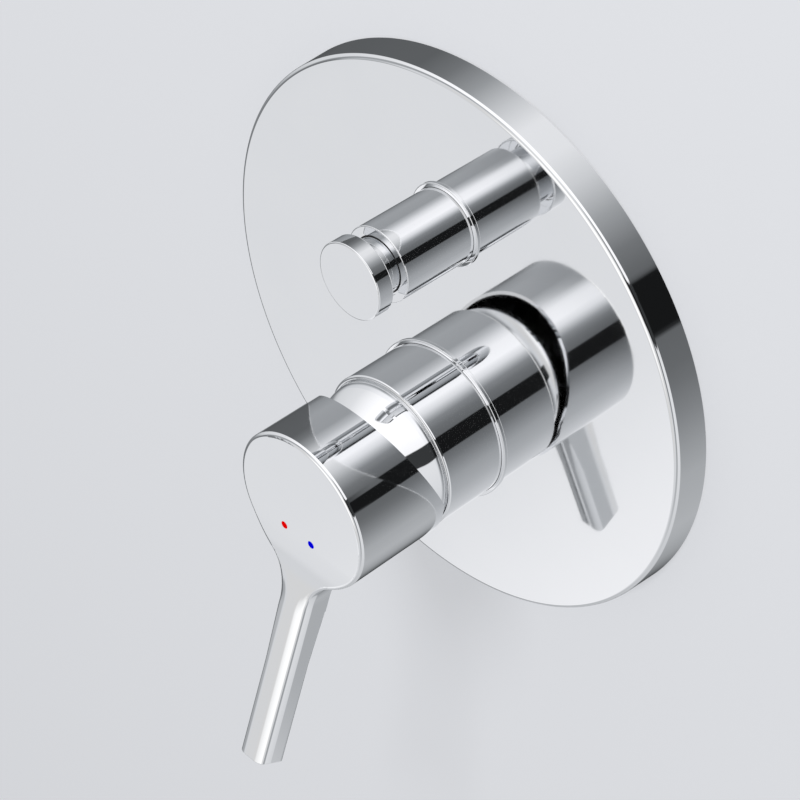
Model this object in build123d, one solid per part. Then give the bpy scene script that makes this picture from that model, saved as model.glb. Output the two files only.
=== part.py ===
# Concealed single-lever bath mixer with a round wall plate and a push-button diverter.
# Millimetres, +Z up. The pieces are laid out from the finished wall, y = 0, with the trim towards
# -Y and the brass body behind the wall at +Y, and x = z = 0 in the middle of the round plate.
# They are written with the origin on the back of the body's fixing ears, amid its four holes.

import os
from math import atan2, cos, radians, sin, sqrt, tan

from build123d import *

# round wall plate
plate_back_radius = 85.0
plate_front_radius = 84.5
plate_depth = 10.6
plate_wall = 1.2
plate_edge_round = 1.4
lip_height = 0.7
lip_round = 0.3
cartridge_lip_radius = 25.0
diverter_lip_radius = 12.35
collar_reach = 7.6
collar_wall = 1.8
collar_clearance = 0.1
ring_land = 1.6
ring_width = 2.2
ring_depth = 2.1
wall_seal_width = 4.0
wall_seal_height = 3.5

# axes of the two fittings
cartridge_z = -28.0
diverter_z = 40.5

# cartridge sleeve and dome
sleeve_radius = 23.9
sleeve_wall = 1.2
sleeve_reach = 21.0
sleeve_tail = 4.0
sleeve_outer_round = 0.8
sleeve_inner_round = 0.3
pivot_behind_rim = 3.6
dome_wall = 1.2
dome_arc = 16.0
dome_opening = 12.6
dome_gap = 0.6
dome_skirt_length = 7.0

# handle
head_radius = 24.2
head_wall = 1.0
head_drop = 0.6
head_face_reach = 54.3
head_front_wall = 3.2
head_edge_round = 1.2
head_inner_round = 1.5
rim_gap = 2.2
rim_slope = 23.5
rim_slope_start = -30.0
lever_tilt = 19.4
lever_half_width = 4.55
lever_half_depth = 5.4
lever_base_setback = 0.2
lever_root_drop = 9.2
lever_length = 55.6
lever_front_round = 2.4
lever_rear_round = 1.9
lever_root_rear_round = 0.4
lever_end_cut = -12.0
lever_end_round = 0.5
lever_neck_blend = 14.0
lever_face_bend = 40.0
lever_neck_end = 3.5
lever_round_grown = 22.0
neck_depth = 10.4
marker_radius = 1.2
marker_spacing = 10.8
marker_drop = 9.6
marker_shift = -1.4
marker_depth = 0.4

# stem, hub and grub screw
stem_lean = 12.0
stem_half_width = 3.5
stem_top = 28.4
stem_square_from = 6.0
stem_barrel_radius = 4.4
stem_barrel_half_length = 3.7
stem_arm_radius = 2.1
stem_arm_length = 17.0
stem_ball_radius = 2.6
hub_radius = 6.5
hub_from = 18.5
screw_radius = 2.5
screw_length = 8.0
screw_y = -51.6
screw_boss_radius = 4.2
screw_hex_across = 2.5
screw_hex_depth = 3.0

# cartridge
carrier_radius = 10.55
carrier_top = -31.6
carrier_flange_radius = 15.2
carrier_flange_thickness = 3.0
carrier_slot_half_width = 4.0
carrier_slot_half_length = 6.4
running_fit = 0.05
pin_radius = 1.5
pin_half_length = 9.6
housing_radius = 17.5
housing_neck_radius = 12.8
housing_neck_top = -33.6
housing_shoulder = -16.6
housing_roof = -15.7
housing_chamber_radius = 15.5
housing_foot = 3.4
disc_carrier_radius = 11.2
disc_carrier_top = -12.2
disc_carrier_floor = -6.1
socket_radius = 2.9
socket_depth = 4.8
moving_disc_radius = 10.8
disc_thickness = 3.0
disc_film = 0.02
mixing_pocket_radius = 6.2
mixing_pocket_depth = 1.4
mixing_pocket_shift = -1.5
base_foot = 6.8
base_flange_radius = 17.4
seal_height = 2.2
inlet_offset_x = 7.5
inlet_offset_z = 4.0
outlet_offset_z = -8.5
base_hole_radius = 3.4
port_seal_width = 1.3

# cartridge nut
nut_thread_radius = 19.4
nut_skirt_inner = 17.6
nut_skirt_foot = -3.6
nut_hex_apothem = 18.7
nut_hex_top = -20.6
nut_hex_foot = -13.2
nut_bore_radius = 13.2

# brass body
neck_radius = 21.9
neck_front = -12.6
chamber_radius = 25.5
chamber_front = 6.0
seat_y = 7.4
chamber_back = 20.0
thread_foot = -2.6
neck_ring_y = 0.0
neck_ring_half = 1.0
neck_ring_groove = 1.0
port_y = 32.0
mixed_y = 19.5
shower_y = 8.0
shower_bend_z = 58.0
shower_port_z = 66.0
inlet_bend_y = 11.5
inlet_bend_x = 30.0
side_port_x = 62.0
top_port_z = 80.0
bottom_port_z = -84.0
passage_radius = 4.4
seat_passage_radius = 3.6
cast_wall = 3.0
port_boss_radius = 14.0
port_boss_length = 19.0
port_bore_radius = 9.32
port_thread_length = 15.0
lug_x = 33.0
lug_z = 56.0
lug_radius = 7.5
lug_hole_radius = 2.75
back_y = 50.0
web_thickness = 5.0
web_half_width = 9.0
foot_block_width = 34.0
foot_block_height = 40.0

# diverter
diverter_sleeve_radius = 11.1
diverter_sleeve_wall = 1.2
diverter_reach = 24.65
diverter_tail = -2.0
diverter_end_round = 0.3
wiper_radius = 8.9
wiper_length = 2.6
wiper_setback = 0.3
knob_radius = 11.24
knob_thickness = 5.1
knob_standoff = 5.1
knob_edge_round = 0.4
knob_neck_radius = 8.0
knob_neck_length = 16.0
knob_socket_length = 11.0
push_travel = 4.5
spindle_radius = 2.5
bonnet_front = -17.0
bonnet_flange_radius = 14.0
bonnet_washer = 1.0
bonnet_thread_radius = 11.5
bonnet_thread_foot = 4.5
cage_radius = 9.6
cage_cavity_radius = 6.5
cage_cavity_front = 3.5
window_half_width = 3.6
window_front = 5.5
window_rear = 11.5
front_seat_y = 14.0
rear_seat_y = 25.0
rear_bore_radius = 6.0
diverter_chamber_radius = 11.5
diverter_cast_radius = 15.5
diverter_front = 0.0
diverter_back = 39.0
rear_bore_depth = 11.0
piston_radius = 8.3
piston_seal_thickness = 1.6
spindle_tip = 4.0
stem_ring_radius = 4.4
stem_ring_y = -12.0
stem_ring_half = 1.0

plate_front = -plate_depth
sleeve_rim = plate_front - sleeve_reach
sleeve_bore = sleeve_radius - sleeve_wall
pivot_y = sleeve_rim + pivot_behind_rim
head_z = cartridge_z - head_drop
head_face = plate_front - head_face_reach
head_bore = head_radius - head_wall
dome_foot = head_bore - dome_gap
lever_base_y = head_face + lever_base_setback
lever_base_z = head_z - head_radius - lever_root_drop
carrier_flange_top = housing_roof + 2 * running_fit
fixed_disc_top = disc_carrier_floor + disc_thickness + disc_film
base_top = fixed_disc_top + disc_thickness
diverter_rim = plate_front - diverter_reach
diverter_sleeve_bore = diverter_sleeve_radius - diverter_sleeve_wall
knob_rear = diverter_rim - knob_standoff
knob_front = knob_rear - knob_thickness


def rod(radius, y_from, y_to, z, x=0.0):
    """Round bar along Y."""
    middle = (y_from + y_to) / 2
    return Pos(x, middle, z) * Cylinder(radius, abs(y_to - y_from), rotation=(90, 0, 0))


def tube(outer, inner, y_from, y_to, z):
    return rod(outer, y_from, y_to, z) - rod(inner, y_from - 1, y_to + 1, z)


def turned(profile, z):
    """Solid of revolution about the Y axis line at height z from (radius, y) corners."""
    plane = Plane(origin=(0, 0, z), x_dir=(1, 0, 0), z_dir=(0, 0, 1))
    face = plane * make_face(Polyline(*profile, close=True))
    return revolve(face, Axis((0, 0, z), (0, 1, 0)), 360)


def bar(start, end, radius):
    """Round bar between two points."""
    a, b = Vector(*start), Vector(*end)
    return Plane(origin=a, z_dir=b - a) * Cylinder(
        radius, (b - a).length, align=(Align.CENTER, Align.CENTER, Align.MIN)
    )


def run(points, radius):
    """Round passage through the points, with a ball at each bend."""
    pieces = [bar(a, b, radius) for a, b in zip(points, points[1:])]
    pieces += [Pos(*p) * Sphere(radius) for p in points[1:-1]]
    return pieces


def rims(part, radius, y):
    """Circular edges of the part at this radius and depth."""
    circles = part.edges().filter_by(GeomType.CIRCLE)
    return [e for e in circles if abs(e.radius - radius) < 0.01 and abs(e.arc_center.Y - y) < 0.01]


def make_escutcheon():
    slope = (plate_back_radius - plate_front_radius) / plate_depth
    inner_front = plate_front + plate_wall
    inner_front_radius = plate_front_radius + slope * plate_wall - plate_wall
    plate = turned(
        [
            (0, plate_front),
            (plate_front_radius, plate_front),
            (plate_back_radius, 0),
            (plate_back_radius - plate_wall, 0),
            (inner_front_radius, inner_front),
            (0, inner_front),
        ],
        0,
    )
    plate = fillet(rims(plate, plate_front_radius, plate_front), plate_edge_round)
    for z, radius, lip in (
        (cartridge_z, sleeve_radius, cartridge_lip_radius),
        (diverter_z, diverter_sleeve_radius, diverter_lip_radius),
    ):
        groove = radius + ring_depth
        collar = groove + collar_wall
        plate += rod(collar, inner_front, plate_front + collar_reach, z)
        raised = rod(lip, plate_front - lip_height, inner_front, z)
        plate += fillet(rims(raised, lip, plate_front - lip_height), lip_round)
        plate -= rod(radius + collar_clearance, 2 * plate_front, 0, z)
        plate -= rod(groove, ring_front(), ring_front() + ring_width, z)
    return plate


def ring_front():
    return plate_front + plate_wall + ring_land


def make_wall_seal():
    slope = (plate_back_radius - plate_front_radius) / plate_depth
    outer = plate_back_radius - plate_wall
    return turned(
        [
            (outer, 0),
            (outer - slope * wall_seal_height, -wall_seal_height),
            (outer - wall_seal_width, -wall_seal_height),
            (outer - wall_seal_width, 0),
        ],
        0,
    )


def collar_ring(radius, z):
    return tube(radius + ring_depth, radius, ring_front(), ring_front() + ring_width, z)


def make_cartridge_sleeve():
    sleeve = tube(sleeve_radius, sleeve_bore, sleeve_rim, sleeve_tail, cartridge_z)
    sleeve = fillet(rims(sleeve, sleeve_radius, sleeve_rim), sleeve_outer_round)
    return fillet(rims(sleeve, sleeve_bore, sleeve_rim), sleeve_inner_round)


def dome_y(radius, arc):
    """Depth of the dome's face at this distance from its axis, for this arc of the profile."""
    return sleeve_rim - sqrt(arc**2 - (radius - dome_foot + dome_arc) ** 2)


def dome_side(arc, start):
    """Curved side of the dome's profile, from the opening to its foot."""
    middle = (dome_opening + start) / 2
    return ThreePointArc(
        (dome_opening, dome_y(dome_opening, arc)),
        (middle, dome_y(middle, arc)),
        (start, sleeve_rim),
    )


def make_dome_cap():
    """Skirt screwed into the sleeve and a shell that curves in to the opening for the stem."""
    skirt_bore = sleeve_bore - dome_wall
    skirt_end = sleeve_rim + dome_skirt_length
    inner_arc = dome_arc - dome_wall
    inner_foot = dome_foot - dome_wall
    step = sleeve_rim + dome_wall
    skirt = Polyline(
        (dome_foot, sleeve_rim),
        (sleeve_bore, sleeve_rim),
        (sleeve_bore, skirt_end),
        (skirt_bore, skirt_end),
        (skirt_bore, step),
        (inner_foot, step),
        (inner_foot, sleeve_rim),
    )
    mouth = Line(
        (dome_opening, dome_y(dome_opening, inner_arc)), (dome_opening, dome_y(dome_opening, dome_arc))
    )
    edges = [dome_side(dome_arc, dome_foot), skirt, dome_side(inner_arc, inner_foot), mouth]
    plane = Plane(origin=(0, 0, cartridge_z), x_dir=(1, 0, 0), z_dir=(0, 0, 1))
    return revolve(plane * make_face(edges), Axis((0, 0, cartridge_z), (0, 1, 0)), 360)


def lever_plane(distance):
    """Section plane of the lever, local y towards its front face."""
    tilt = radians(lever_tilt)
    origin = (0, lever_base_y - distance * sin(tilt), lever_base_z - distance * cos(tilt))
    return Plane(origin=origin, x_dir=(1, 0, 0), z_dir=(0, -sin(tilt), -cos(tilt)))


def lever_section(distance, front_round, rear_round):
    outline = Rectangle(2 * lever_half_width, 2 * lever_half_depth)
    front = [v for v in outline.vertices() if v.Y > 0]
    outline = fillet(front, front_round)
    rear = outline.vertices().sort_by(Axis.Y)[:2]
    outline = fillet(rear, rear_round)
    return lever_plane(distance) * outline


def drop_outline():
    """Front view of the head: a circle that blends into the sides of the lever."""
    side_x = lever_half_width + lever_neck_blend
    reach = head_radius + lever_neck_blend
    fall = sqrt(reach**2 - side_x**2)
    touch_x = head_radius * side_x / reach
    touch_z = -head_radius * fall / reach
    foot = lever_base_z - lever_length - head_z
    middle_angle = (atan2(touch_z + fall, touch_x - side_x) + radians(180)) / 2
    mid = (side_x + lever_neck_blend * cos(middle_angle), -fall + lever_neck_blend * sin(middle_angle))
    right = ThreePointArc((touch_x, touch_z), mid, (lever_half_width, -fall))
    left = ThreePointArc((-touch_x, touch_z), (-mid[0], mid[1]), (-lever_half_width, -fall))
    edges = [
        ThreePointArc((touch_x, touch_z), (0, head_radius), (-touch_x, touch_z)),
        left,
        Line((-lever_half_width, -fall), (-lever_half_width, foot)),
        Line((-lever_half_width, foot), (lever_half_width, foot)),
        Line((lever_half_width, foot), (lever_half_width, -fall)),
        right,
    ]
    return make_face(edges)


def side_profile():
    """Side view of the front of the head as (y, z): flat face, bend and start of the lever."""
    tilt = radians(lever_tilt)
    along = (-sin(tilt), -cos(tilt))
    out = (-cos(tilt), sin(tilt))
    base = (lever_base_y, lever_base_z)
    front = (base[0] + lever_half_depth * out[0], base[1] + lever_half_depth * out[1])
    rear = (base[0] - lever_half_depth * out[0], base[1] - lever_half_depth * out[1])
    bend_z = front[1] + (head_face - front[0]) / tan(tilt)
    shelf = head_face + neck_depth
    shelf_z = rear[1] + (shelf - rear[0]) / tan(tilt)
    front_end = (front[0] + lever_neck_end * along[0], front[1] + lever_neck_end * along[1])
    rear_end = (rear[0] + lever_neck_end * along[0], rear[1] + lever_neck_end * along[1])
    top = head_z + head_radius + 1
    corners = [(head_face, top), (head_face, bend_z), front_end, rear_end, (shelf, shelf_z), (shelf, top)]
    outline = make_face(Polyline(*corners, close=True))
    bend = [v for v in outline.vertices() if abs(v.X - head_face) < 0.01 and abs(v.Y - bend_z) < 0.01]
    return fillet(bend, lever_face_bend)


def make_handle_shell():
    """Head and lever before the inside is cut: drop-shaped front, wedge-cut rear, tilted lever."""
    front_plane = Plane(origin=(0, 0, head_z), x_dir=(1, 0, 0), z_dir=(0, -1, 0))
    drop = extrude(front_plane * drop_outline(), 2 * head_face_reach)
    side_plane = Plane(origin=(0, 0, 0), x_dir=(0, 1, 0), z_dir=(1, 0, 0))
    band = extrude(side_plane * side_profile(), 2 * head_radius, both=True)
    shelf = head_face + neck_depth
    front = drop & band
    head = front + rod(head_radius, shelf, sleeve_rim - rim_gap, head_z)
    edges = [e for e in head.edges() if on_front_outline(e)]
    head = fillet(edges, head_edge_round)
    root = lever_section(lever_neck_end, head_edge_round, lever_root_rear_round)
    grown = lever_section(lever_round_grown, lever_front_round, lever_rear_round)
    lever = loft([root, grown])
    lever += extrude(grown, lever_length + lever_half_depth - lever_round_grown)
    beyond = 4 * lever_half_depth
    cut = Pos(0, 0, beyond / 2) * Box(2 * beyond, 2 * beyond, beyond)
    lever -= lever_plane(lever_length) * Rot(lever_end_cut, 0, 0) * cut
    tip = lever.faces().sort_by(Axis.Z)[0]
    lever = fillet(tip.edges(), lever_end_round)
    return head + lever


def on_front_outline(edge):
    """True for the edges of the front face where it meets the side walls."""
    tilt = radians(lever_tilt)
    for t in (0.1, 0.5, 0.9):
        p = edge.position_at(t)
        flat = abs(p.Y - head_face) < 0.01
        out = (p.Y - lever_base_y) * -cos(tilt) + (p.Z - lever_base_z) * sin(tilt)
        sloped = abs(out - lever_half_depth) < 0.01
        if not (flat or sloped or bend_distance(p) < 0.02):
            return False
        if abs(p.X) < lever_half_width - 0.01:
            return False
    return True


def bend_distance(p):
    """Distance of a point from the curved bend between the flat face and the lever's front."""
    tilt = radians(lever_tilt)
    front_y = lever_base_y - lever_half_depth * cos(tilt)
    front_z = lever_base_z + lever_half_depth * sin(tilt)
    bend_z = front_z + (head_face - front_y) / tan(tilt)
    centre_y = head_face - lever_face_bend
    centre_z = bend_z + lever_face_bend * tan(tilt / 2)
    return abs(sqrt((p.Y - centre_y) ** 2 + (p.Z - centre_z) ** 2) - lever_face_bend)


def stem_axis():
    """Plane at the tilt pivot whose local z runs up the stem and local x is the pivot pin."""
    lean = radians(stem_lean)
    return Plane(origin=(0, pivot_y, cartridge_z), x_dir=(1, 0, 0), z_dir=(0, -cos(lean), -sin(lean)))


def up_stem(radius, start, end):
    solid = Cylinder(radius, end - start, align=(Align.CENTER, Align.CENTER, Align.MIN))
    return stem_axis() * Pos(0, 0, start) * solid


def square_stem(half, start, end):
    solid = Box(2 * half, 2 * half, end - start, align=(Align.CENTER, Align.CENTER, Align.MIN))
    return stem_axis() * Pos(0, 0, start) * solid


def screw_top():
    """Height of the stem's lower flat where the grub screw presses on it."""
    lean = radians(stem_lean)
    along = pivot_y - screw_y
    return cartridge_z - along * tan(lean) - stem_half_width / cos(lean) + screw_radius * tan(lean)


def make_handle():
    handle = make_handle_shell()
    inner_face = head_face + head_front_wall
    hollow = rod(head_bore, inner_face, 0, head_z)
    hollow_front = rims(hollow, head_bore, inner_face)
    hollow = fillet(hollow_front, head_inner_round)
    hub = up_stem(hub_radius, hub_from, pivot_y - head_face)
    boss_foot = head_z - head_bore - head_wall / 2
    boss = Pos(0, screw_y, boss_foot) * Cylinder(
        screw_boss_radius, cartridge_z - hub_radius - boss_foot, align=(Align.CENTER, Align.CENTER, Align.MIN)
    )
    inside = (hub + boss) & rod(head_bore + 0.1, inner_face - 0.1, 0, head_z)
    handle = (handle - hollow) + inside
    handle -= square_stem(stem_half_width, hub_from - 1, stem_top)
    handle -= bar((0, screw_y, head_z - head_radius - 1), (0, screw_y, screw_top()), screw_radius)
    slope = tan(radians(rim_slope))
    flat = sleeve_rim - rim_gap
    rise = 2 * head_radius
    wedge = [
        (flat, rim_slope_start),
        (flat - rise * slope, rim_slope_start + rise),
        (flat + rise, rim_slope_start + rise),
        (flat + rise, rim_slope_start),
    ]
    side_plane = Plane(origin=(0, 0, 0), x_dir=(0, 1, 0), z_dir=(1, 0, 0))
    handle -= extrude(side_plane * make_face(Polyline(*wedge, close=True)), rise, both=True)
    for side in (-1, 1):
        handle -= marker(side)
    return handle


def marker(side):
    """Colour mark let into the face, flush with it."""
    x = marker_shift + side * marker_spacing / 2
    return rod(marker_radius, head_face, head_face + marker_depth, head_z - marker_drop, x)


def make_stem():
    stem = square_stem(stem_half_width, stem_square_from, stem_top)
    stem += up_stem(stem_half_width, 0, stem_square_from)
    stem += bar(
        (-stem_barrel_half_length, pivot_y, cartridge_z),
        (stem_barrel_half_length, pivot_y, cartridge_z),
        stem_barrel_radius,
    )
    stem += up_stem(stem_arm_radius, -stem_arm_length, 0)
    stem += stem_axis() * Pos(0, 0, -stem_arm_length) * Sphere(stem_ball_radius)
    end = 2 * stem_barrel_half_length
    return stem - bar((-end, pivot_y, cartridge_z), (end, pivot_y, cartridge_z), pin_radius + running_fit)


def make_grub_screw():
    top = screw_top()
    foot = top - screw_length
    screw = bar((0, screw_y, foot), (0, screw_y, top), screw_radius)
    key = Pos(0, screw_y, foot) * extrude(
        RegularPolygon(screw_hex_across / 2, 6, major_radius=False), screw_hex_depth
    )
    screw -= key
    return screw - square_stem(stem_half_width, hub_from - 1, stem_top)


def make_pivot_pin():
    return bar((-pin_half_length, pivot_y, cartridge_z), (pin_half_length, pivot_y, cartridge_z), pin_radius)


def make_cartridge_carrier():
    foot = carrier_flange_top + carrier_flange_thickness
    carrier = rod(carrier_radius, carrier_top, foot, cartridge_z)
    carrier += rod(carrier_flange_radius, carrier_flange_top, foot, cartridge_z)
    middle = (carrier_top + foot) / 2
    slot = Box(2 * carrier_slot_half_width, foot - carrier_top + 2, 2 * carrier_slot_half_length)
    carrier -= Pos(0, middle, cartridge_z) * slot
    return carrier - make_pivot_pin()


def make_cartridge_housing():
    housing = turned(
        [
            (carrier_radius + running_fit, housing_neck_top),
            (housing_neck_radius, housing_neck_top),
            (housing_neck_radius, housing_shoulder),
            (housing_radius, housing_shoulder),
            (housing_radius, housing_foot),
            (housing_chamber_radius, housing_foot),
            (housing_chamber_radius, housing_roof),
            (carrier_radius + running_fit, housing_roof),
        ],
        cartridge_z,
    )
    return housing


def arm_shift():
    """Offset of the stem's ball from the cartridge axis when the lever is closed."""
    return stem_arm_length * sin(radians(stem_lean))


def make_disc_carrier():
    z = cartridge_z + arm_shift()
    carrier = rod(disc_carrier_radius, disc_carrier_top, disc_carrier_floor, z)
    return carrier - rod(socket_radius, disc_carrier_top - 1, disc_carrier_top + socket_depth, z)


def make_moving_disc():
    z = cartridge_z + arm_shift()
    foot = disc_carrier_floor + disc_thickness
    disc = rod(moving_disc_radius, disc_carrier_floor, foot, z)
    return disc - rod(mixing_pocket_radius, foot - mixing_pocket_depth, foot + 1, z + mixing_pocket_shift)


def base_holes(radius, y_from, y_to):
    """Hot, cold and mixed water holes of the cartridge, in that order."""
    inlet_z = cartridge_z + inlet_offset_z
    return [
        rod(radius, y_from, y_to, inlet_z, -inlet_offset_x),
        rod(radius, y_from, y_to, inlet_z, inlet_offset_x),
        rod(radius, y_from, y_to, cartridge_z + outlet_offset_z),
    ]


def make_fixed_disc():
    disc = rod(housing_chamber_radius, fixed_disc_top, base_top, cartridge_z)
    for hole in base_holes(base_hole_radius, fixed_disc_top - 1, base_top + 1):
        disc -= hole
    return disc


def make_cartridge_base():
    base = rod(housing_chamber_radius, base_top, housing_foot, cartridge_z)
    base += rod(base_flange_radius, housing_foot, base_foot, cartridge_z)
    for hole in base_holes(base_hole_radius, base_top - 1, base_foot + 1):
        base -= hole
    for seat in base_holes(base_hole_radius + port_seal_width, seat_y - seal_height, base_foot + 1):
        base -= seat
    return base


def make_port_seals():
    outer = base_holes(base_hole_radius + port_seal_width, seat_y - seal_height, seat_y)
    inner = base_holes(base_hole_radius, seat_y - seal_height - 1, seat_y + 1)
    return Compound(children=[a - b for a, b in zip(outer, inner)])


def make_cartridge_nut():
    hexagon = RegularPolygon(nut_hex_apothem, 6, major_radius=False)
    plane = Plane(origin=(0, nut_hex_foot, cartridge_z), x_dir=(1, 0, 0), z_dir=(0, -1, 0))
    nut = extrude(plane * hexagon, nut_hex_foot - nut_hex_top)
    nut += rod(nut_thread_radius, nut_hex_foot - 1, nut_skirt_foot, cartridge_z)
    nut -= rod(nut_skirt_inner, housing_shoulder, nut_skirt_foot + 1, cartridge_z)
    return nut - rod(nut_bore_radius, nut_hex_top - 1, housing_shoulder + 1, cartridge_z)


def hot_run():
    z = cartridge_z + inlet_offset_z
    return [
        (-inlet_offset_x, seat_y, z),
        (-inlet_offset_x, inlet_bend_y, z),
        (-inlet_bend_x, port_y, cartridge_z),
        (-side_port_x, port_y, cartridge_z),
    ]


def cold_run():
    return [(-x, y, z) for x, y, z in hot_run()]


def mixed_run():
    z = cartridge_z + outlet_offset_z
    return [(0, seat_y, z), (0, mixed_y, z), (0, mixed_y, diverter_z)]


def bath_run():
    return [(0, port_y, diverter_z), (0, port_y, bottom_port_z)]


def shower_run():
    return [
        (0, shower_y, diverter_z),
        (0, shower_y, shower_bend_z),
        (0, port_y, shower_port_z),
        (0, port_y, top_port_z),
    ]


def ports():
    """End and inward direction of each pipe port."""
    return [
        ((-side_port_x, port_y, cartridge_z), (1, 0, 0)),
        ((side_port_x, port_y, cartridge_z), (-1, 0, 0)),
        ((0, port_y, top_port_z), (0, 0, -1)),
        ((0, port_y, bottom_port_z), (0, 0, 1)),
    ]


def inward(port, distance):
    end, way = port
    return tuple(e + distance * w for e, w in zip(end, way))


def make_valve_body():
    body = rod(chamber_radius, chamber_front, chamber_back, cartridge_z)
    body += rod(neck_radius, neck_front, chamber_front, cartridge_z)
    body += rod(diverter_cast_radius, diverter_front, diverter_back, diverter_z)
    for points in (hot_run(), cold_run(), bath_run(), shower_run(), mixed_run()):
        for piece in run(points, passage_radius + cast_wall):
            body += piece
    block = Box(foot_block_width, back_y - chamber_back, foot_block_height)
    body += Pos(0, (chamber_back + back_y) / 2, cartridge_z) * block
    for port in ports():
        body += bar(port[0], inward(port, port_boss_length), port_boss_radius)
    web_y = back_y - web_thickness / 2
    body += Pos(0, web_y, 0) * Box(2 * web_half_width, web_thickness, 2 * lug_z)
    for z in (-lug_z, lug_z):
        body += Pos(0, web_y, z) * Box(2 * lug_x, web_thickness, 2 * lug_radius)
        for x in (-lug_x, lug_x):
            body += rod(lug_radius, back_y - web_thickness, back_y, z, x)
    for z in (-lug_z, lug_z):
        for x in (-lug_x, lug_x):
            body -= rod(lug_hole_radius, back_y - web_thickness - 1, back_y + 1, z, x)
    body -= rod(nut_skirt_inner, thread_foot - 1, seat_y, cartridge_z)
    body -= rod(nut_thread_radius, neck_front - 1, thread_foot, cartridge_z)
    body -= neck_ring_space(neck_radius + 1)
    body -= rod(diverter_chamber_radius, diverter_front - 1, rear_seat_y, diverter_z)
    body -= rod(rear_bore_radius, rear_seat_y - 1, rear_seat_y + rear_bore_depth, diverter_z)
    for port in ports():
        body -= bar(inward(port, -1), inward(port, port_thread_length), port_bore_radius)
    for points in (hot_run(), cold_run()):
        body -= bar(points[0], points[1], seat_passage_radius)
        for piece in run(points[1:], passage_radius):
            body -= piece
        body -= Pos(*points[1]) * Sphere(seat_passage_radius)
    for points in (bath_run(), shower_run(), mixed_run()):
        for piece in run(points, passage_radius):
            body -= piece
    return body


def neck_ring_space(outer):
    """Ring round the body's neck from the floor of its groove out to this radius."""
    inner = neck_radius - neck_ring_groove
    return tube(outer, inner, neck_ring_y - neck_ring_half, neck_ring_y + neck_ring_half, cartridge_z)


def make_neck_ring():
    return neck_ring_space(sleeve_bore)


def make_diverter_sleeve():
    """Tube whose front end is turned in to hold the wiper ring."""
    lip_rear = diverter_rim + wiper_length
    sleeve = rod(diverter_sleeve_radius, diverter_rim, diverter_tail, diverter_z)
    sleeve -= rod(diverter_sleeve_bore, lip_rear, diverter_tail, diverter_z)
    sleeve -= rod(wiper_radius, diverter_rim, lip_rear, diverter_z)
    return fillet(rims(sleeve, diverter_sleeve_radius, diverter_rim), diverter_end_round)


def make_wiper_ring():
    front = diverter_rim + wiper_setback
    return tube(wiper_radius, knob_neck_radius + running_fit, front, diverter_rim + wiper_length, diverter_z)


def make_knob():
    knob = rod(knob_radius, knob_front, knob_rear, diverter_z)
    knob = fillet(rims(knob, knob_radius, knob_front) + rims(knob, knob_radius, knob_rear), knob_edge_round)
    knob += rod(knob_neck_radius, knob_rear, knob_rear + knob_neck_length, diverter_z)
    return knob - rod(spindle_radius, knob_rear + knob_neck_length - knob_socket_length,
                      knob_rear + knob_neck_length + 1, diverter_z)


def make_spindle():
    foot = front_seat_y + 2 * piston_seal_thickness + spindle_tip
    return rod(spindle_radius, knob_rear + knob_neck_length - knob_socket_length, foot, diverter_z)


def make_bonnet():
    """Brass insert: guide for the spindle, flange, thread, and a cage that ends in the front seat."""
    bonnet = rod(diverter_sleeve_bore, bonnet_front, diverter_tail, diverter_z)
    flange_rear = diverter_front - bonnet_washer
    bonnet += rod(bonnet_flange_radius, diverter_tail, flange_rear, diverter_z)
    bonnet += rod(bonnet_thread_radius, flange_rear, bonnet_thread_foot, diverter_z)
    bonnet += rod(cage_radius, bonnet_thread_foot, window_rear, diverter_z)
    bonnet += rod(diverter_chamber_radius, window_rear, front_seat_y, diverter_z)
    bonnet -= rod(cage_cavity_radius, cage_cavity_front, front_seat_y, diverter_z)
    bonnet -= rod(spindle_radius + running_fit, bonnet_front, cage_cavity_front, diverter_z)
    window = Box(2 * window_half_width, window_rear - window_front, 4 * cage_radius)
    for angle in (0, 90):
        bonnet -= Pos(0, (window_front + window_rear) / 2, diverter_z) * Rot(0, angle, 0) * window
    return bonnet - rod(stem_ring_radius, stem_ring_y - stem_ring_half, stem_ring_y + stem_ring_half, diverter_z)


def make_bonnet_washer():
    return tube(bonnet_flange_radius, bonnet_thread_radius, diverter_front - bonnet_washer, diverter_front,
                diverter_z)


def make_stem_ring():
    front, rear = stem_ring_y - stem_ring_half, stem_ring_y + stem_ring_half
    return tube(stem_ring_radius, spindle_radius + running_fit, front, rear, diverter_z)


def make_piston():
    front = front_seat_y + running_fit + piston_seal_thickness
    piston = rod(piston_radius, front, piston_rear() - piston_seal_thickness, diverter_z)
    return piston - make_spindle()


def piston_rear():
    return rear_seat_y - push_travel - running_fit


def make_piston_seals():
    front = front_seat_y + running_fit
    rear = piston_rear()
    pair = [
        tube(piston_radius, spindle_radius, front, front + piston_seal_thickness, diverter_z),
        tube(piston_radius, spindle_radius, rear - piston_seal_thickness, rear, diverter_z),
    ]
    return Compound(children=pair)


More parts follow.
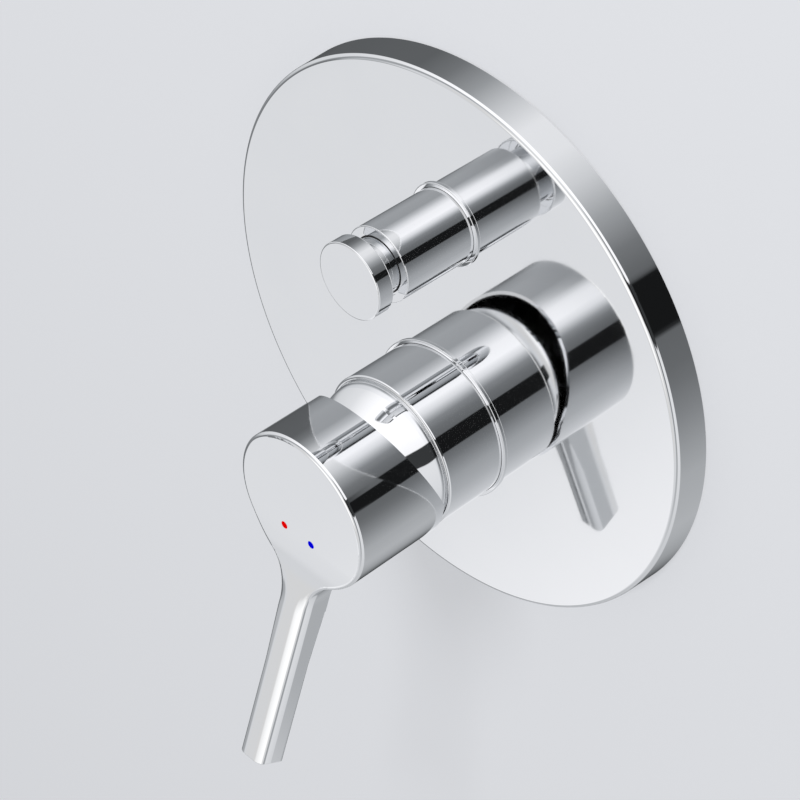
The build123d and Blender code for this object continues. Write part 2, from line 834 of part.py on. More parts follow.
nodes = {
    "valve_body": make_valve_body,
    "escutcheon": make_escutcheon,
    "wall_seal": make_wall_seal,
    "cartridge_sleeve": make_cartridge_sleeve,
    "sleeve_collar_ring": lambda: collar_ring(sleeve_radius, cartridge_z),
    "sleeve_neck_ring": make_neck_ring,
    "dome_cap": make_dome_cap,
    "cartridge_nut": make_cartridge_nut,
    "cartridge_housing": make_cartridge_housing,
    "cartridge_base": make_cartridge_base,
    "port_seals": make_port_seals,
    "fixed_disc": make_fixed_disc,
    "moving_disc": make_moving_disc,
    "disc_carrier": make_disc_carrier,
    "cartridge_carrier": make_cartridge_carrier,
    "pivot_pin": make_pivot_pin,
    "cartridge_stem": make_stem,
    "handle": make_handle,
    "grub_screw": make_grub_screw,
    "hot_marker": lambda: marker(-1),
    "cold_marker": lambda: marker(1),
    "diverter_sleeve": make_diverter_sleeve,
    "diverter_collar_ring": lambda: collar_ring(diverter_sleeve_radius, diverter_z),
    "diverter_bonnet": make_bonnet,
    "bonnet_washer": make_bonnet_washer,
    "diverter_wiper": make_wiper_ring,
    "spindle_ring": make_stem_ring,
    "diverter_knob": make_knob,
    "diverter_spindle": make_spindle,
    "diverter_piston": make_piston,
    "piston_seals": make_piston_seals,
}

os.makedirs("parts", exist_ok=True)
for name, make in nodes.items():
    part = Pos(0, -back_y, 0) * make()
    part.label = name
    export_step(part, f"parts/{name}.step")
    box = part.bounding_box()
    print(name, len(part.solids()), [round(v, 1) for v in (*box.min, *box.max)], round(part.volume))
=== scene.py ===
import math

import bpy
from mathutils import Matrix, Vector
from mathutils.geometry import tessellate_polygon


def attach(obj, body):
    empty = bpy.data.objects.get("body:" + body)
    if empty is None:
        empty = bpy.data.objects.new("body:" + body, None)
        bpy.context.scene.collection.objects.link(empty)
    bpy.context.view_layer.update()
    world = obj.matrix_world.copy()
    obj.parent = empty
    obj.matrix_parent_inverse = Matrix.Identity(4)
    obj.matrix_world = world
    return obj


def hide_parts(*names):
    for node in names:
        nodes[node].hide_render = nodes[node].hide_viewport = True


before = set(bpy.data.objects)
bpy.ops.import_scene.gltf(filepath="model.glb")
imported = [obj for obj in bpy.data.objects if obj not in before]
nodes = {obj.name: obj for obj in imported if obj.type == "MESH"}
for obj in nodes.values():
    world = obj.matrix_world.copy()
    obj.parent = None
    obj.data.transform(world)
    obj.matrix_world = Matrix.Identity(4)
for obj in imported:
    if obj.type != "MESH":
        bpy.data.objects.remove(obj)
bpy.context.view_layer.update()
scene = bpy.context.scene
print("frame loaded:", len(nodes), "nodes")

wallLine = -0.05  # the finished wall, in front of the origin
millimetre = 0.001  # in metres, as everything that has no other note


# a Wire is one output socket, a Placed is one node and a Bench is one node tree
class Wire:
    def __init__(self, bench, socket):
        self.bench, self.socket = bench, socket

    def maths(self, operation, *others):
        return self.bench.add("ShaderNodeMath", {"operation": operation},
                              dict(enumerate((self, *others)))).out(0)

    def __add__(self, other):
        return self.maths("ADD", other)

    def __radd__(self, other):
        return self.maths("ADD", other)

    def __sub__(self, other):
        return self.maths("SUBTRACT", other)

    def __rsub__(self, other):
        return self.bench.number(other).maths("SUBTRACT", self)

    def __mul__(self, other):
        return self.maths("MULTIPLY", other)

    def __rmul__(self, other):
        return self.maths("MULTIPLY", other)

    def __truediv__(self, other):
        return self.maths("DIVIDE", other)

    def __rtruediv__(self, other):
        return self.bench.number(other).maths("DIVIDE", self)

    def __pow__(self, other):
        return self.maths("POWER", other)

    def __abs__(self):
        return self.maths("ABSOLUTE")

    def ease(self, low, high, start=0.0, end=1.0):  # a smooth step between low and high
        return self.bench.add("ShaderNodeMapRange", {"interpolation_type": "SMOOTHSTEP"},
                              {"Value": self, "From Min": low, "From Max": high,
                               "To Min": start, "To Max": end}).out(0)


class Placed:
    def __init__(self, bench, node):
        self.bench, self.node = bench, node

    def out(self, key):
        return Wire(self.bench, self.node.outputs[key])


class Bench:
    def __init__(self, tree):
        self.tree = tree
        tree.nodes.clear()

    def add(self, kind, settings=None, sockets=None):
        node = self.tree.nodes.new(kind)
        for key, value in (settings or {}).items():
            if key == "stops":
                self.setStops(node.color_ramp, value)
            else:
                setattr(node, key, value)
        for key, value in (sockets or {}).items():
            if isinstance(value, Wire):
                self.tree.links.new(value.socket, node.inputs[key])
            else:
                node.inputs[key].default_value = value
        return Placed(self, node)

    def setStops(self, ramp, stops):
        while len(ramp.elements) < len(stops):
            ramp.elements.new(0.5)
        for element, (place, colour) in zip(ramp.elements, stops):
            element.position = place
            element.color = (*colour, 1)

    def number(self, value):
        node = self.add("ShaderNodeValue")
        node.node.outputs[0].default_value = value
        return node.out(0)

    def place(self):  # metres in the frame, with the joints at rest
        return self.add("ShaderNodeTexCoord").out("Object")

    def split(self, vector):
        apart = self.add("ShaderNodeSeparateXYZ", sockets={0: vector})
        return apart.out(0), apart.out(1), apart.out(2)

    def noise(self, scale, detail, rough=0.5):
        return self.add("ShaderNodeTexNoise", None,
                        {"Vector": self.place(), "Scale": scale, "Detail": detail,
                         "Roughness": rough}).out(0)

    def blend(self, factor, first, second):  # colours
        first, second = (c if isinstance(c, Wire) else (*c, 1) for c in (first, second))
        return self.add("ShaderNodeMix", {"data_type": "RGBA"}, {0: factor, 6: first, 7: second}).out(2)

    def blendVectors(self, factor, first, second):
        return self.add("ShaderNodeMix", {"data_type": "VECTOR"}, {0: factor, 4: first, 5: second}).out(1)

    def vectorMaths(self, operation, *values):
        return self.add("ShaderNodeVectorMath", {"operation": operation}, dict(enumerate(values))).out(0)

    def dot(self, vector, way):
        return self.add("ShaderNodeVectorMath", {"operation": "DOT_PRODUCT"},
                        {0: vector, 1: way}).out("Value")

    def bump(self, height, strength, distance):
        return self.add("ShaderNodeBump", None,
                        {"Height": height, "Strength": strength, "Distance": distance}).out(0)


def newMaterial(name, finish):
    material = bpy.data.materials.new(name)
    material.use_nodes = True
    bench = Bench(material.node_tree)
    settings = finish(bench)
    shader = bench.add("ShaderNodeBsdfPrincipled", None, settings)
    bench.add("ShaderNodeOutputMaterial", None, {"Surface": shader.out(0)})
    return material


def offAxis(a, b):  # distance from the axis that a and b are measured from
    return (a * a + b * b) ** 0.5


# a finish gives each noise as its scale, its detail and maybe its roughness, and its edges as where
# it eases in; depths are in metres
chrome = {"colour": (0.93, 0.935, 0.945), "hazed": (0.9, 0.91, 0.925), "haze": 0.35,
          "cloud": (38.0, 4.0), "cloudEdges": (0.35, 0.75), "wipe": (420.0, 2.0), "wipeEdges": (0.4, 0.7),
          "rough": 0.028, "cloudRough": 0.022, "wipeRough": 0.008}


def polishedChrome(bench):
    cloud = bench.noise(*chrome["cloud"]).ease(*chrome["cloudEdges"])
    wipe = bench.noise(*chrome["wipe"]).ease(*chrome["wipeEdges"])
    return {"Base Color": bench.blend(cloud * chrome["haze"], chrome["colour"], chrome["hazed"]),
            "Metallic": 1.0,
            "Roughness": chrome["rough"] + cloud * chrome["cloudRough"] + wipe * chrome["wipeRough"]}


# the handle's lever in metres; reach is in mm, and lean gives its polish's turn in degrees at so many
# mm round from the middle of its front to its side
lever = {"base": (0.0, wallLine - 0.0647, -0.062), "tilt": math.radians(19.4), "halfDepth": 0.0054,
         "halfWidth": 0.00455, "flare": 0.014, "steepest": 0.95, "start": -0.0095, "full": -0.0015,
         "rear": 0.0115, "rearEnd": 0.0121, "endFace": (0.25, 0.45), "reach": 16,
         "lean": [(0.0, 0), (1.5, 0), (2.6, 8), (4.55, 12), (5.7, 38), (6.3, 50), (7.8, 72), (9.4, 90)]}
# painted shade: a near-black colour for the hollow inside the head, standing in for the shade there
paintedHollowShade = {"z": -0.0286, "radius": 0.02325, "floor": wallLine - 0.0619, "colour": (0.05, 0.052, 0.056)}


def leverPolish(bench):  # a normal that rounds the lever's sides
    down = (0.0, -math.sin(lever["tilt"]), -math.cos(lever["tilt"]))
    out = (0.0, -math.cos(lever["tilt"]), math.sin(lever["tilt"]))
    place = bench.vectorMaths("SUBTRACT", bench.place(), lever["base"])
    x, y, z = bench.split(place)
    along = bench.dot(place, down)
    dip = (z / lever["flare"]).maths("MAXIMUM", 0.0).maths("MINIMUM", lever["steepest"])  # the flare's turn
    level = (1.0 - dip * dip) ** 0.5
    edge = abs(x) - lever["halfWidth"] - (1.0 - level) * lever["flare"]
    around = lever["halfWidth"] + edge * level + lever["halfDepth"] - bench.dot(place, out)
    stops = [(far / lever["reach"], (degrees / 90,) * 3) for far, degrees in lever["lean"]]
    share = around / (lever["reach"] * millimetre)
    lean = bench.add("ShaderNodeValToRGB", {"stops": stops}, {0: share}).out(0) * (math.pi / 2)
    across, ahead = lean.maths("SINE"), lean.maths("COSINE")
    rounded = bench.add("ShaderNodeCombineXYZ", None,
                        {0: across * level * x.maths("SIGN"), 1: ahead * out[1],
                         2: ahead * out[2] - across * dip}).out(0)
    own = bench.add("ShaderNodeTexCoord").out("Normal")
    endFace = abs(bench.dot(own, down)).ease(*lever["endFace"])
    polished = (along.ease(lever["start"], lever["full"]) * (1.0 - endFace)
                * around.ease(lever["rear"], lever["rearEnd"], 1.0, 0.0))
    normal = bench.vectorMaths("NORMALIZE", bench.blendVectors(polished, own, rounded))
    return bench.add("ShaderNodeVectorTransform",
                     {"vector_type": "NORMAL", "convert_from": "OBJECT", "convert_to": "WORLD"},
                     {0: normal}).out(0)


def handleChrome(bench):
    x, y, z = bench.split(bench.place())
    shadedHollow = (offAxis(x, z - paintedHollowShade["z"]).maths("LESS_THAN", paintedHollowShade["radius"])
              * y.maths("GREATER_THAN", paintedHollowShade["floor"]))  # painted shade: the hollow inside the head is coloured near black where shade falls
    finish = polishedChrome(bench)
    return {**finish, "Base Color": bench.blend(shadedHollow, finish["Base Color"], paintedHollowShade["colour"]),
            "Normal": leverPolish(bench)}


castBrass = {"high": (0.62, 0.47, 0.24), "low": (0.42, 0.30, 0.14), "bright": (0.78, 0.62, 0.34),
             "grain": (900.0, 4.0, 0.6), "patch": (60.0, 5.0), "patchEdges": (0.3, 0.7),
             "rough": 0.56, "patchRough": 0.1, "cutSmooth": 0.3, "grainRough": 0.05,
             "sand": 0.22, "cutSand": 0.2, "threadHeight": 0.5, "strength": 0.6, "depth": 0.0014}
portThread = {"y": -0.018, "inletZ": -0.028, "radius": 0.0099, "pitch": 0.001814,
              "sideStart": 0.047, "topStart": 0.065, "bottomStart": -0.069}
portFace = {"side": 0.0612, "top": 0.0792, "bottom": -0.0832, "neck": wallLine - 0.0003, "back": -0.0006}


def sandCastBrass(bench):
    x, y, z = bench.split(bench.place())
    grain = bench.noise(*castBrass["grain"])
    patch = bench.noise(*castBrass["patch"]).ease(*castBrass["patchEdges"])
    across = abs(x).maths("GREATER_THAN", portFace["side"])
    above = z.maths("GREATER_THAN", portFace["top"])
    below = z.maths("LESS_THAN", portFace["bottom"])
    front = y.maths("LESS_THAN", portFace["neck"])
    back = y.maths("GREATER_THAN", portFace["back"])
    deep, rise = y - portThread["y"], z - portThread["inletZ"]
    inlet = (offAxis(deep, rise).maths("LESS_THAN", portThread["radius"])
             * abs(x).maths("GREATER_THAN", portThread["sideStart"]))
    ends = z.maths("GREATER_THAN", portThread["topStart"]) + z.maths("LESS_THAN", portThread["bottomStart"])
    outlet = offAxis(deep, x).maths("LESS_THAN", portThread["radius"]) * ends
    wind = 2 * math.pi / portThread["pitch"]
    inletThread = (x * wind + rise.maths("ARCTAN2", deep)).maths("SINE") * inlet
    outletThread = (z * wind + x.maths("ARCTAN2", deep)).maths("SINE") * outlet
    cut = (across + above + below + front + back + inlet + outlet).maths("MINIMUM", 1.0)  # turned faces
    colour = bench.blend(cut, bench.blend(patch, castBrass["low"], castBrass["high"]), castBrass["bright"])
    rough = (castBrass["rough"] + patch * castBrass["patchRough"] - cut * castBrass["cutSmooth"]
             + grain * castBrass["grainRough"])
    height = (grain * (castBrass["sand"] - cut * castBrass["cutSand"])
              + (inletThread + outletThread) * castBrass["threadHeight"])
    return {"Base Color": colour, "Metallic": 1.0, "Roughness": rough,
            "Normal": bench.bump(height, castBrass["strength"], castBrass["depth"])}


brassBar = {"light": (0.80, 0.64, 0.33), "dark": (0.70, 0.54, 0.27), "tint": (90.0, 3.0),
            "toolMarks": 9000.0, "chatter": (700.0, 3.0), "chatterHeight": 0.6, "rough": 0.2,
            "chatterRough": 0.12, "strength": 0.2, "depth": 0.00005}


def turnedBrass(bench):
    y = bench.split(bench.place())[1]
    rings = (y * brassBar["toolMarks"]).maths("SINE")
    chatter = bench.noise(*brassBar["chatter"])
    tint = bench.noise(*brassBar["tint"])
    height = rings + chatter * brassBar["chatterHeight"]
    return {"Base Color": bench.blend(tint, brassBar["light"], brassBar["dark"]), "Metallic": 1.0,
            "Roughness": brassBar["rough"] + chatter * brassBar["chatterRough"],
            "Normal": bench.bump(height, brassBar["strength"], brassBar["depth"])}


rubber = {"black": (0.012, 0.012, 0.013), "dusty": (0.03, 0.03, 0.031), "grain": (1500.0, 3.0),
          "dust": (70.0, 4.0), "dustEdges": (0.45, 0.8), "rough": 0.5, "grainRough": 0.15,
          "strength": 0.2, "depth": 0.0001}


def mouldedRubber(bench):
    grain = bench.noise(*rubber["grain"])
    dust = bench.noise(*rubber["dust"]).ease(*rubber["dustEdges"])
    return {"Base Color": bench.blend(dust, rubber["black"], rubber["dusty"]),
            "Roughness": rubber["rough"] + grain * rubber["grainRough"],
            "Normal": bench.bump(grain, rubber["strength"], rubber["depth"])}


wiper = {"z": 0.0405, "lip": 0.00833, "grainRough": 0.1, "platedSmooth": 0.48}


def wiperFinish(bench):  # a black lip in a plated carrier ring
    x, y, z = bench.split(bench.place())
    plated = offAxis(x, z - wiper["z"]).maths("GREATER_THAN", wiper["lip"])
    grain = bench.noise(*rubber["grain"])
    return {"Base Color": bench.blend(plated, rubber["black"], chrome["colour"]), "Metallic": plated,
            "Roughness": rubber["rough"] + grain * wiper["grainRough"] - plated * wiper["platedSmooth"]}


foam = {"dark": (0.11, 0.11, 0.115), "light": (0.2, 0.2, 0.205), "cellScale": 1600.0, "rough": 0.85,
        "cellRough": 0.1, "strength": 0.6, "depth": 0.0003}


def closedCellFoam(bench):
    cells = bench.add("ShaderNodeTexVoronoi", {"feature": "F1"},
                      {"Vector": bench.place(), "Scale": foam["cellScale"]}).out("Distance")
    return {"Base Color": bench.blend(cells, foam["dark"], foam["light"]),
            "Roughness": foam["rough"] + cells * foam["cellRough"],
            "Normal": bench.bump(cells, foam["strength"], foam["depth"])}


plastic = {"acetal": ((0.78, 0.78, 0.75), (0.70, 0.70, 0.67)),
           "nylon": ((0.20, 0.21, 0.22), (0.14, 0.15, 0.16)), "flow": (45.0, 3.0), "grain": (1200.0, 2.0),
           "rough": 0.34, "grainRough": 0.16, "strength": 0.12, "depth": 0.0001}


def mouldedPlastic(light, dark):
    def finish(bench):
        flow = bench.noise(*plastic["flow"])
        grain = bench.noise(*plastic["grain"])
        return {"Base Color": bench.blend(flow, light, dark),
                "Roughness": plastic["rough"] + grain * plastic["grainRough"],
                "Normal": bench.bump(grain, plastic["strength"], plastic["depth"])}
    return finish


ceramic = {"body": (0.86, 0.84, 0.79), "dark": (0.72, 0.69, 0.64), "speck": (2400.0, 2.0),
           "speckEdges": (0.6, 0.75), "rough": 0.12, "speckRough": 0.1}


def lappedCeramic(bench):
    speck = bench.noise(*ceramic["speck"]).ease(*ceramic["speckEdges"])
    return {"Base Color": bench.blend(speck, ceramic["body"], ceramic["dark"]),
            "Roughness": ceramic["rough"] + speck * ceramic["speckRough"]}


steel = {"light": (0.60, 0.60, 0.61), "dark": (0.48, 0.48, 0.5), "lines": (260.0, 4.0), "toolMarks": 14000.0,
         "rough": 0.22, "lineRough": 0.14, "strength": 0.08, "depth": 0.00004}


def brightSteel(bench):
    x = bench.split(bench.place())[0]
    lines = bench.noise(*steel["lines"])
    marks = (x * steel["toolMarks"]).maths("SINE")
    return {"Base Color": bench.blend(lines, steel["light"], steel["dark"]), "Metallic": 1.0,
            "Roughness": steel["rough"] + lines * steel["lineRough"],
            "Normal": bench.bump(marks, steel["strength"], steel["depth"])}


enamel = {"hot": (0.81, 0.0, 0.0), "cold": (0.0, 0.0, 0.74), "deep": 0.9, "mottle": (1800.0, 2.0),
          "rough": 0.2, "mottleRough": 0.1}


def glossEnamel(colour):
    def finish(bench):
        mottle = bench.noise(*enamel["mottle"])
        deep = tuple(c * enamel["deep"] for c in colour)
        return {"Base Color": bench.blend(mottle, colour, deep),
                "Roughness": enamel["rough"] + mottle * enamel["mottleRough"], "Specular IOR Level": 0.0}
    return finish


finishes = {
    "trim chrome": (polishedChrome, ("escutcheon", "cartridge_sleeve", "dome_cap",
                                     "diverter_sleeve", "diverter_knob")),
    "handle chrome": (handleChrome, ("handle",)),
    "cast brass": (sandCastBrass, ("valve_body",)),
    "turned brass": (turnedBrass, ("cartridge_nut", "cartridge_stem", "diverter_bonnet", "diverter_piston")),
    "black rubber": (mouldedRubber, ("sleeve_collar_ring", "sleeve_neck_ring", "port_seals",
                                     "diverter_collar_ring", "bonnet_washer", "spindle_ring",
                                     "piston_seals")),
    "knob wiper": (wiperFinish, ("diverter_wiper",)),
    "grey foam": (closedCellFoam, ("wall_seal",)),
    "white acetal": (mouldedPlastic(*plastic["acetal"]), ("cartridge_housing", "cartridge_base")),
    "grey nylon": (mouldedPlastic(*plastic["nylon"]), ("disc_carrier", "cartridge_carrier")),
    "lapped ceramic": (lappedCeramic, ("fixed_disc", "moving_disc")),
    "bright steel": (brightSteel, ("pivot_pin", "grub_screw", "diverter_spindle")),
    "red enamel": (glossEnamel(enamel["hot"]), ("hot_marker",)),
    "blue enamel": (glossEnamel(enamel["cold"]), ("cold_marker",)),
}
for name, (finish, members) in finishes.items():
    material = newMaterial(name, finish)
    for node in members:
        nodes[node].data.materials.clear()
        nodes[node].data.materials.append(material)
print("finishes made:", len(finishes))


# three trim pieces once more in fine turned strips, because a mirror shows every facet; their
# sizes are in millimetres, with depths from the wall
class Lathe:
    def __init__(self, steps):
        self.steps, self.points, self.normals, self.faces = steps, [], [], []

    def rimPoint(self, radius, depth, z, step):
        angle = 2 * math.pi * step / self.steps
        return (radius * math.cos(angle), depth, z + radius * math.sin(angle))

    def strip(self, z, start, end, startWay, endWay):  # each end is (radius, depth) with its normal
        base = len(self.points)
        for (radius, depth), (outward, along) in ((start, startWay), (end, endWay)):
            for step in range(self.steps):
                self.points.append(self.rimPoint(radius, depth, z, step))
                self.normals.append(self.rimPoint(outward, along, 0, step))
        other = base + self.steps
        for step in range(self.steps):
            follow = (step + 1) % self.steps
            self.faces.append((base + step, other + step, other + follow, base + follow))

    def straight(self, z, *corners):
        for start, end in zip(corners, corners[1:]):
            long = math.dist(start, end)
            way = ((end[1] - start[1]) / long, (start[0] - end[0]) / long)
            self.strip(z, start, end, way, way)

    def rounded(self, z, centre, radius, first, last, parts=8, side=1, polish=None):
        turns = [first + (last - first) * i / parts for i in range(parts + 1)]  # from outwards towards +Y
        ends = [(centre[0] + radius * math.cos(a), centre[1] + radius * math.sin(a)) for a in turns]
        ways = [polish(a) if polish else (side * math.cos(a), side * math.sin(a)) for a in turns]
        for i in range(parts):
            self.strip(z, ends[i], ends[i + 1], ways[i], ways[i + 1])

    def flat(self, depth, way, circles):  # a flat face with holes, from (radius, z) circles
        rings = [[Vector(self.rimPoint(radius, depth, z, step)) for step in range(self.steps)]
                 for radius, z in circles]
        base = len(self.points)
        for ring in rings:
            self.points += [tuple(p) for p in ring]
            self.normals += [(0, way, 0)] * len(ring)
        for a, b, c in tessellate_polygon(rings):
            p, q, r = (Vector(self.points[base + i]) for i in (a, b, c))
            turned = (q - p).cross(r - p).y * way < 0
            self.faces.append((base + a, base + c, base + b) if turned else (base + a, base + b, base + c))

    def build(self, name, material):
        mesh = bpy.data.meshes.new(name)
        shift = Vector((0, wallLine, 0))
        mesh.from_pydata([Vector(p) * millimetre + shift for p in self.points], [], self.faces)
        mesh.shade_smooth()
        mesh.normals_split_custom_set_from_vertices(self.normals)
        mesh.materials.append(material)
        made = bpy.data.objects.new(name, mesh)
        scene.collection.objects.link(made)
        return made


plate = {"front": 10.6, "frontRadius": 84.5, "backRadius": 85.0, "wall": 1.2, "edge": 1.4,
         "lip": 0.7, "lipEdge": 0.3, "clearance": 0.1, "land": 1.6, "groove": 2.1, "grooveWidth": 2.2,
         "collarWall": 1.8, "collarReach": 7.6, "lipLean": math.radians(-10),
         "rimLean": math.radians(5.5), "turns": 360}
plateHoles = {"cartridge": {"z": -28.0, "sleeve": 23.9, "lip": 25.0},
              "diverter": {"z": 40.5, "sleeve": 11.1, "lip": 12.35}}


def plateStrips():
    lathe = Lathe(plate["turns"])
    face, inner = -plate["front"], plate["wall"] - plate["front"]
    slope = (plate["backRadius"] - plate["frontRadius"]) / plate["front"]
    lean = math.atan(slope)
    inset = plate["edge"] * (math.hypot(1, slope) - slope)
    middle = (plate["frontRadius"] - inset, face + plate["edge"])
    lathe.rounded(0, middle, plate["edge"], -math.pi / 2, -lean)
    edgeEnd = (middle[0] + plate["edge"] * math.cos(lean), middle[1] - plate["edge"] * math.sin(lean))
    innerRadius = plate["frontRadius"] + slope * plate["wall"] - plate["wall"]
    polish = (math.cos(plate["rimLean"]), -math.sin(plate["rimLean"]))
    lathe.strip(0, edgeEnd, (plate["backRadius"], 0), polish, polish)
    lathe.straight(0, (plate["backRadius"], 0), (plate["backRadius"] - plate["wall"], 0),
                   (innerRadius, inner))
    frontCircles, backCircles = [(middle[0], 0)], [(innerRadius, 0)]
    for hole in plateHoles.values():
        z, bore, groove = hole["z"], hole["sleeve"] + plate["clearance"], hole["sleeve"] + plate["groove"]
        collar, tail = groove + plate["collarWall"], face + plate["collarReach"]
        near = inner + plate["land"]
        far = near + plate["grooveWidth"]
        top, edge = face - plate["lip"], plate["lipEdge"]
        lathe.straight(z, (collar, inner), (collar, tail), (bore, tail), (bore, far), (groove, far),
                       (groove, near), (bore, near), (bore, top))
        polish = (math.sin(plate["lipLean"]), -math.cos(plate["lipLean"]))  # buffed a little off square
        lathe.strip(z, (bore, top), (hole["lip"] - edge, top), polish, polish)
        lathe.rounded(z, (hole["lip"] - edge, top + edge), edge, -math.pi / 2, 0)
        lathe.straight(z, (hole["lip"], top + edge), (hole["lip"], face))
        frontCircles.append((hole["lip"], z))
        backCircles.append((collar, z))
    lathe.flat(face, -1, frontCircles)
    lathe.flat(inner, 1, backCircles)
    return lathe


# the cartridge's sleeve and the dome in its mouth
sleeve = {"z": -28.0, "radius": 23.9, "bore": 22.7, "rim": -31.6, "tail": 4.0, "edge": 0.8,
          "edgeParts": 12, "inner": 0.3, "turns": 240}
dome = {"foot": 22.6, "arc": 16.0, "wall": 1.2, "opening": 12.6, "skirt": 7.0, "parts": 42,
        "lean": math.radians(21), "shown": math.radians(50)}


def sleeveStrips():
    lathe = Lathe(sleeve["turns"])
    z, rim, edge, inner = sleeve["z"], sleeve["rim"], sleeve["edge"], sleeve["inner"]
    lathe.rounded(z, (sleeve["bore"] + inner, rim + inner), inner, -math.pi, -math.pi / 2)
    lathe.straight(z, (sleeve["bore"] + inner, rim), (sleeve["radius"] - edge, rim))
    lathe.rounded(z, (sleeve["radius"] - edge, rim + edge), edge, -math.pi / 2, 0, sleeve["edgeParts"])
    lathe.straight(z, (sleeve["radius"], rim + edge), (sleeve["radius"], sleeve["tail"]),
                   (sleeve["bore"], sleeve["tail"]), (sleeve["bore"], rim + inner))
    return lathe


def domePolish(turn, last):  # between lean and shown the dome is buffed to one slope
    lean, shown = dome["lean"], dome["shown"]
    if turn < lean:
        lean = turn
    elif turn > shown:
        lean += (last - lean) * (turn - shown) / (last - shown)
    return (math.cos(lean), -math.sin(lean))


def domeStrips():
    lathe = Lathe(sleeve["turns"])
    z, rim, foot, wall, parts = sleeve["z"], sleeve["rim"], dome["foot"], dome["wall"], dome["parts"]
    centre = (foot - dome["arc"], rim)
    innerArc = dome["arc"] - wall
    start, turned = (-math.acos((dome["opening"] - centre[0]) / arc) for arc in (dome["arc"], innerArc))
    lathe.rounded(z, centre, dome["arc"], start, 0, parts, polish=lambda a: domePolish(-a, -start))
    skirtBore, skirtEnd, step = sleeve["bore"] - wall, rim + dome["skirt"], rim + wall
    lathe.straight(z, (foot, rim), (sleeve["bore"], rim), (sleeve["bore"], skirtEnd), (skirtBore, skirtEnd),
                   (skirtBore, step), (foot - wall, step), (foot - wall, rim))
    lathe.rounded(z, centre, innerArc, 0, turned, parts, -1)
    lathe.straight(z, (dome["opening"], rim + innerArc * math.sin(turned)),
                   (dome["opening"], rim + dome["arc"] * math.sin(start)))
    return lathe


turnedPieces = (("plate_face", "escutcheon", plateStrips), ("sleeve_tube", "cartridge_sleeve", sleeveStrips),
                ("dome_face", "dome_cap", domeStrips))
for name, node, strips in turnedPieces:
    fine = strips().build(name, bpy.data.materials["trim chrome"])
    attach(fine, "valve")
    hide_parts(node)
    if node == "escutcheon":  # the plate leaves the wall beside it plain
        fine.visible_shadow = False
    print(name, "turned:", len(fine.data.polygons), "faces")


# the wall behind the plate, which the chrome doesn't see
wall = {"half": 3.0, "y": wallLine + 0.0004, "colour": (0.36, 0.366, 0.382), "glow": (0.372, 0.379, 0.395),
        "rough": 0.9}

mesh = bpy.data.meshes.new("studioWall")
half = wall["half"]
corners = [(x, wall["y"], z) for x, z in ((-half, -half), (half, -half), (half, half), (-half, half))]
mesh.from_pydata(corners, [], [(0, 1, 2, 3)])
studioWall = bpy.data.objects.new("studioWall", mesh)
scene.collection.objects.link(studioWall)
studioWall.visible_glossy = False

wallPaint = bpy.data.materials.new("wall paint")
wallPaint.use_nodes = True
bench = Bench(wallPaint.node_tree)
paint = bench.add("ShaderNodeBsdfPrincipled", None,
                  {"Base Color": (*wall["colour"], 1), "Roughness": wall["rough"], "Specular IOR Level": 0.0,
                   "Emission Color": (*wall["glow"], 1), "Emission Strength": 1.0})
clear = bench.add("ShaderNodeBsdfTransparent")  # from behind, the body in the wall shows
rearSide = bench.add("ShaderNodeNewGeometry").out("Backfacing")
either = bench.add("ShaderNodeMixShader", None, {0: rearSide, 1: paint.out(0), 2: clear.out(0)})
bench.add("ShaderNodeOutputMaterial", None, {"Surface": either.out(0)})
mesh.materials.append(wallPaint)

# the soft panels that the chrome sees, in rings round the Y axis from the room's front to the wall:
# degrees from +X towards +Z, and the grey level of the panel there
farRing = [
    (0, 0.135), (8, 0.095), (11, 0.009), (34, 0.009), (35, 0.11), (45, 0.155), (52, 0.21), (59, 0.36),
    (66, 0.64), (72, 0.82), (80, 0.89), (93, 0.88), (100, 0.78), (106, 0.56), (113, 0.30),
    (165, 0.31), (180, 0.4), (190, 0.5), (206, 0.5), (214, 0.3), (221, 0.75), (227, 0.755), (233, 0.77),
    (237, 0.88), (241, 0.96), (250, 0.80), (283, 0.55), (325, 0.31), (343, 0.22), (350, 0.185), (360, 0.135),
]
frontRing = [
    (0, 0.19), (10, 0.145), (11, 0.009), (34, 0.009), (35, 0.14), (46, 0.175), (56, 0.26), (61, 0.42),
    (70, 0.80), (80, 1.06), (98, 1.0), (108, 0.82), (120, 0.54), (131, 0.36), (165, 0.385), (180, 0.34),
    (192, 0.295), (204, 0.19), (216, 0.145), (221, 0.75), (227, 0.755), (233, 0.77), (237, 0.88),
    (241, 0.96), (250, 0.80), (262, 0.66), (283, 0.58), (307, 0.46), (331, 0.38), (345, 0.29), (360, 0.19),
]
middleRing = [
    (0, 0.80), (10, 0.80), (11, 0.04), (34, 0.04), (35, 1.0), (60, 1.12), (113, 1.12), (128, 1.02),
    (152, 0.79), (185, 0.69), (193, 0.59), (198, 0.42), (203, 0.26), (214, 0.19), (235, 0.18),
    (250, 0.5), (280, 0.6), (330, 0.75), (360, 0.80),
]
backRing = [
    (0, 0.145), (10, 0.13), (11, 0.009), (27, 0.009), (28, 0.13), (33, 0.135), (45, 0.185), (58, 0.36),
    (72, 0.64), (85, 0.81), (98, 0.82), (110, 0.60), (123, 0.33), (136, 0.18), (149, 0.12),
    (198, 0.108), (212, 0.09), (222, 0.3), (229, 0.34), (233, 0.05), (247, 0.06),
    (258, 0.2), (270, 0.35), (282, 0.43), (290, 0.46),
    (315, 0.41), (328, 0.33), (341, 0.24), (353, 0.17), (360, 0.145),
]
flagEnds = {10: 11.8, 11: 12.8, 27: 33, 28: 34, 33: 36}  # the plate's rim shows a wider dark flag
rimRing = [(flagEnds.get(angle, angle), level) for angle, level in backRing]
poleRing = [(0, 0.69), (10, 0.69), (11, 0.02), (34, 0.02), (35, 0.69), (360, 0.69)]

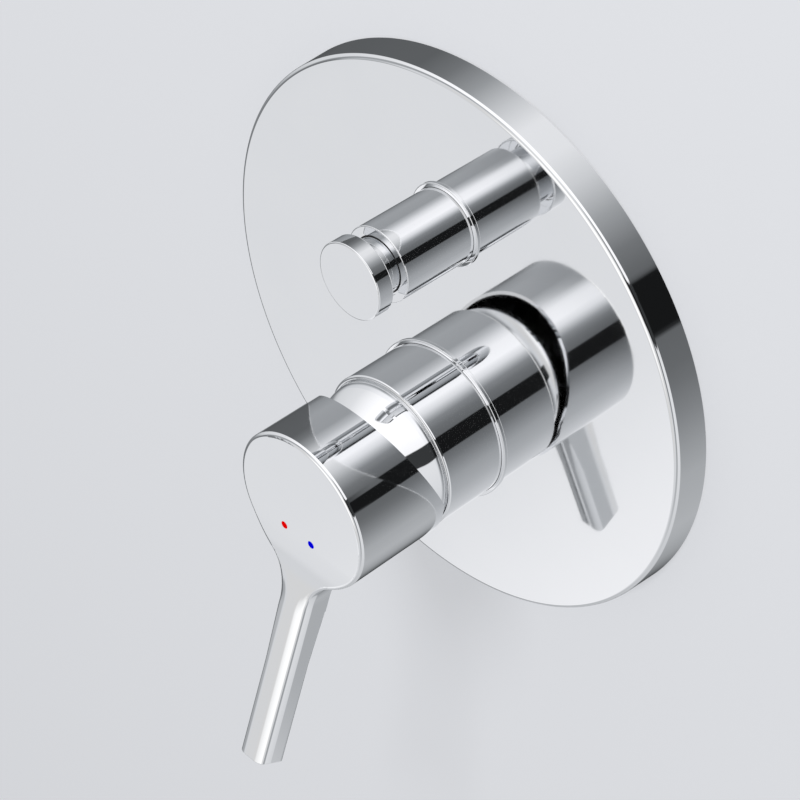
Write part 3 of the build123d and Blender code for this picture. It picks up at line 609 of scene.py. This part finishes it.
# where each ring takes over from the one before it as y grows, and the last three as its size grows
zones = {"front": (-0.60, -0.57), "middle": (-0.44, -0.38), "rim": (0.38, 0.44), "back": (0.475, 0.495),
         "poleRing": (0.64, 0.73), "pole": (0.76, 0.82), "centre": (0.86, 0.95)}
roomLight = {"plain": (0.69, 0.70, 0.73), "pole": 0.69, "centre": 1.1, "fill": 0.62,
             "red": (0.945, 0.055), "blue": (1.05, -0.03)}  # a black panel's tint and what white adds to it

world = scene.world or bpy.data.worlds.new("studio")
scene.world = world
world.use_nodes = True
bench = Bench(world.node_tree)
x, y, z = bench.split(bench.add("ShaderNodeTexCoord").out("Generated"))
turn = (z.maths("ARCTAN2", x) / (2 * math.pi)).maths("FRACT")


def panels(ring):
    stops = []
    for angle, level in ring:  # the darker panels are the cooler ones
        red, blue = (base + share * min(level, 1.0) for base, share in (roomLight["red"], roomLight["blue"]))
        stops.append((angle / 360, (level * red, level, level * blue)))
    return bench.add("ShaderNodeValToRGB", {"stops": stops}, {0: turn}).out(0)


ahead = bench.blend(y.ease(*zones["front"]), panels(farRing), panels(frontRing))
behind = bench.blend(y.ease(*zones["rim"]), panels(middleRing), panels(rimRing))
behind = bench.blend(y.ease(*zones["back"]), behind, panels(backRing))
room = bench.blend(y.ease(*zones["middle"]), ahead, behind)
for zone, colour in (("poleRing", panels(poleRing)), ("pole", (roomLight["pole"],) * 3),
                     ("centre", (roomLight["centre"],) * 3)):
    room = bench.blend(abs(y).ease(*zones[zone]), room, colour)
seen = bench.add("ShaderNodeBackground", None, {"Color": room, "Strength": 1.0})
plain = bench.add("ShaderNodeBackground", None, {"Color": (*roomLight["plain"], 1), "Strength": 1.0})
dim = bench.add("ShaderNodeBackground", None, {"Color": (1, 1, 1, 1), "Strength": roomLight["fill"]})
path = bench.add("ShaderNodeLightPath")
unlit = bench.add("ShaderNodeMixShader", None, {0: path.out("Is Camera Ray"), 1: dim.out(0), 2: plain.out(0)})
sky = bench.add("ShaderNodeMixShader", None, {0: path.out("Is Glossy Ray"), 1: unlit.out(0), 2: seen.out(0)})
bench.add("ShaderNodeOutputWorld", None, {"Surface": sky.out(0)})

keyLamp = {"place": (0.16, -1.1, 1.16), "size": 0.55, "power": 13.0}
lampData = bpy.data.lights.new("keyLamp", "AREA")
lampData.shape, lampData.size, lampData.energy = "DISK", keyLamp["size"], keyLamp["power"]
lamp = bpy.data.objects.new("keyLamp", lampData)
lamp.location = keyLamp["place"]
lamp.rotation_mode = "QUATERNION"
lamp.rotation_quaternion = (Vector((0, wallLine, 0)) - Vector(keyLamp["place"])).to_track_quat("-Z", "Y")
lamp.visible_glossy = False
scene.collection.objects.link(lamp)
print("studio ready")

eye = {"place": (0.36157, wallLine - 0.37510, 0.43327), "azimuth": math.radians(46.116),
       "elevation": math.radians(41.53), "lens": 110.04, "sensor": 36.0, "near": 0.01, "far": 50.0}
cameraData = bpy.data.cameras.new("eye")
cameraData.sensor_width, cameraData.lens = eye["sensor"], eye["lens"]
cameraData.clip_start, cameraData.clip_end = eye["near"], eye["far"]
camera = bpy.data.objects.new("eye", cameraData)
azimuth, elevation = eye["azimuth"], eye["elevation"]
back = Vector((math.sin(azimuth) * math.cos(elevation), -math.cos(azimuth) * math.cos(elevation),
               math.sin(elevation)))
camera.location = eye["place"]
camera.rotation_mode = "QUATERNION"
camera.rotation_quaternion = (-back).to_track_quat("-Z", "Y")
scene.collection.objects.link(camera)
scene.camera = camera
scene.view_settings.view_transform = "Standard"
